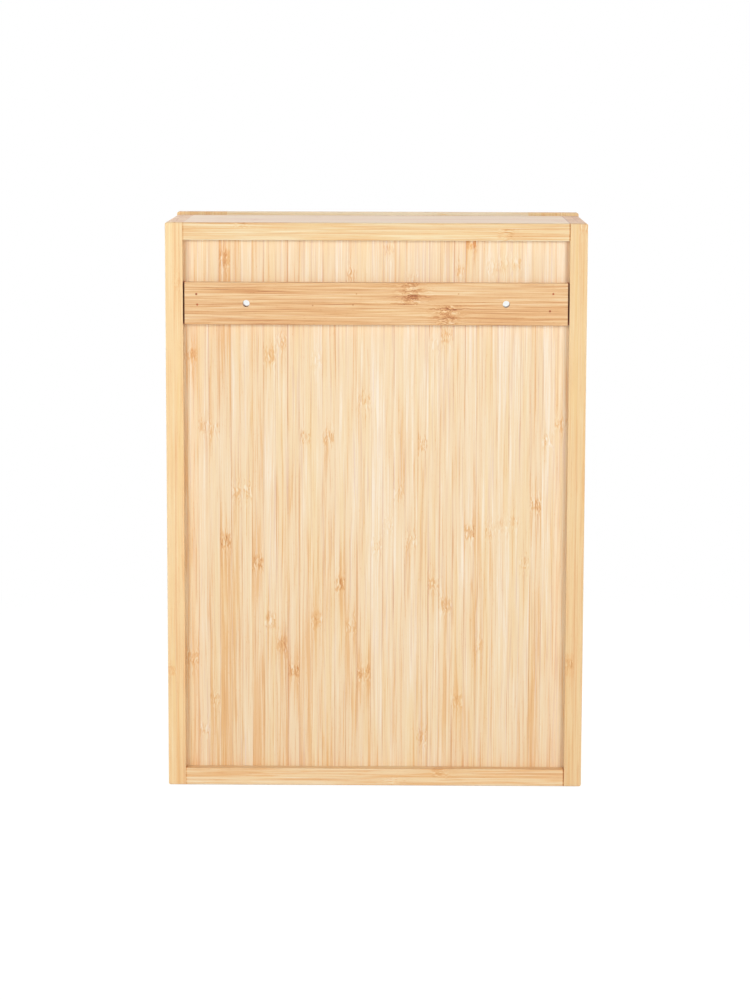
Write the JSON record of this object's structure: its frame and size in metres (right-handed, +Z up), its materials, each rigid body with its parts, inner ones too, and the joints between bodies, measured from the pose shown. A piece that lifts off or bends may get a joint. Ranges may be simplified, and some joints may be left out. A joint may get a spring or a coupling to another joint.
{
  "type": "glass door cabinet",
  "caption": "Bamboo wall cabinet with a framed glass door on butt hinges, a round knob, fixed shelves, a recessed back panel and a drilled hanging rail.",
  "frame": {"origin": "on the wall plane, which is the plane of the boards' back edges and of the hanging rail's outer face, halfway between the two hanging holes", "axes": "+Y into the wall, along the hanging holes; +Z up; +X to the right for someone who stands in front of the door"},
  "size_m": [0.3661, 0.1778, 0.4925],
  "materials": {
    "bamboo": "clear satin lacquer on laminated bamboo strips",
    "bamboo_panel": "pale laminated bamboo strips, upright, satin lacquer",
    "bamboo_rail": "darker carbonised bamboo strip, satin lacquer",
    "dowel_wood": "raw",
    "clear_glass": "clear float glass",
    "nickel": "nickel plated, satin",
    "nail_steel": "plain steel",
    "knob_metal": "brushed nickel",
    "dark_plastic": "moulded, matte",
    "magnet": "dark ferrite",
    "soft_pad": "soft translucent pad"
  },
  "bodies": {
    "carcass": {"side_board_left": "bamboo", "side_board_right": "bamboo", "top_board": "bamboo", "bottom_board": "bamboo", "carcass_dowels": "dowel_wood", "back_panel": "bamboo_panel", "hanging_rail": "bamboo_rail", "rail_nails": "nail_steel", "shelf_lower": "bamboo", "shelf_upper": "bamboo", "shelf_pins": "nickel", "hinge_upper_carcass_leaf": "nickel", "hinge_upper_pin": "nickel", "hinge_lower_carcass_leaf": "nickel", "hinge_lower_pin": "nickel", "hinge_screws_carcass": "nickel", "catch_housing": "dark_plastic", "catch_magnet": "magnet", "catch_pole_plates": "nail_steel", "catch_screws": "nickel"},
    "door": {"door_stile_hinge_side": "bamboo", "door_stile_knob_side": "bamboo", "door_rail_top": "bamboo", "door_rail_bottom": "bamboo", "glass_pane": "clear_glass", "glazing_bead_top": "bamboo", "glazing_bead_bottom": "bamboo", "glazing_bead_left": "bamboo", "glazing_bead_right": "bamboo", "bead_nails": "nail_steel", "hinge_upper_door_leaf": "nickel", "hinge_lower_door_leaf": "nickel", "hinge_screws_door": "nickel", "knob": "knob_metal", "knob_screw": "nail_steel", "knob_washer": "nail_steel", "strike_plate": "nickel", "strike_screw": "nickel", "door_bumpers": "soft_pad"}
  },
  "joints": [
    {"name": "door_hinge", "type": "hinge", "parent": "carcass", "child": "door", "pos_m": [-0.1833, -0.1364, -0.1735], "axis": [0, 0, -1], "range_deg": [0, 180]}
  ]
}
